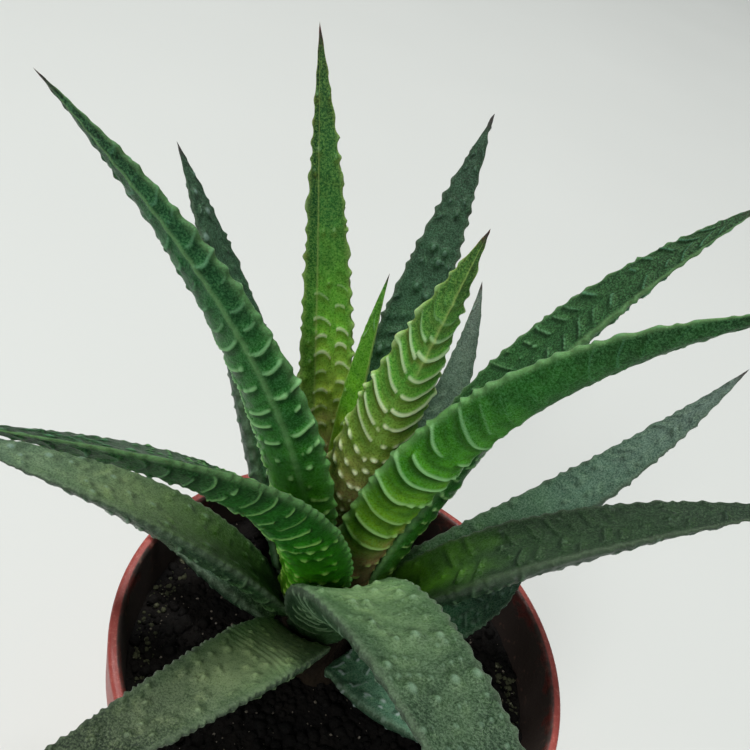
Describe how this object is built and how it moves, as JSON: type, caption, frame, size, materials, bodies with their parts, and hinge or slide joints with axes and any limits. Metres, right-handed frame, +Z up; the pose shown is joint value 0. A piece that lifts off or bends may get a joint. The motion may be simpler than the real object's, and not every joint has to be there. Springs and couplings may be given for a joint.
{
  "type": "potted succulent plant",
  "caption": "Haworthia-like succulent: a loose rosette of long tapering toothed leaves on a short stem, in peat in a round tapered nursery pot with drain holes.",
  "frame": {"origin": "centre of the pot's flat base", "axes": "+Z up out of the pot; -Y is the front of the plant, where the stem's low leaves arch over the rim; +X is its right"},
  "size_m": [0.1475, 0.1286, 0.1766],
  "materials": {
    "pot_plastic": "satin brick-red moulded plastic, soiled inside",
    "peat": "near-black crumbly peat with pale grit",
    "bark": "dry brown stem",
    "leaf_bright": "waxy bright yellow-green with cream tubercle bands",
    "leaf_green": "waxy mid green with pale tubercle bands",
    "leaf_dark": "dull dark grey-green with whitish tubercles"
  },
  "bodies": {
    "root": {"pot": "pot_plastic", "soil": "peat", "stem": "bark", "leaf_heart": "leaf_bright", "leaf_centre": "leaf_bright", "leaf_inner_front": "leaf_bright", "leaf_upper_left": "leaf_green", "leaf_arching_right": "leaf_green", "leaf_left_arching": "leaf_green", "leaf_upper_right": "leaf_green", "leaf_back_left": "leaf_green", "leaf_back": "leaf_dark", "leaf_front": "leaf_dark", "leaf_right_back": "leaf_dark", "leaf_left_low": "leaf_dark", "leaf_back_short": "leaf_dark", "leaf_right_level": "leaf_dark", "leaf_front_left": "leaf_dark", "leaf_front_under": "leaf_dark", "leaf_right_under": "leaf_dark", "leaf_back_low": "leaf_dark", "leaf_back_left_low": "leaf_dark", "leaf_back_right_low": "leaf_dark"}
  },
  "joints": []
}
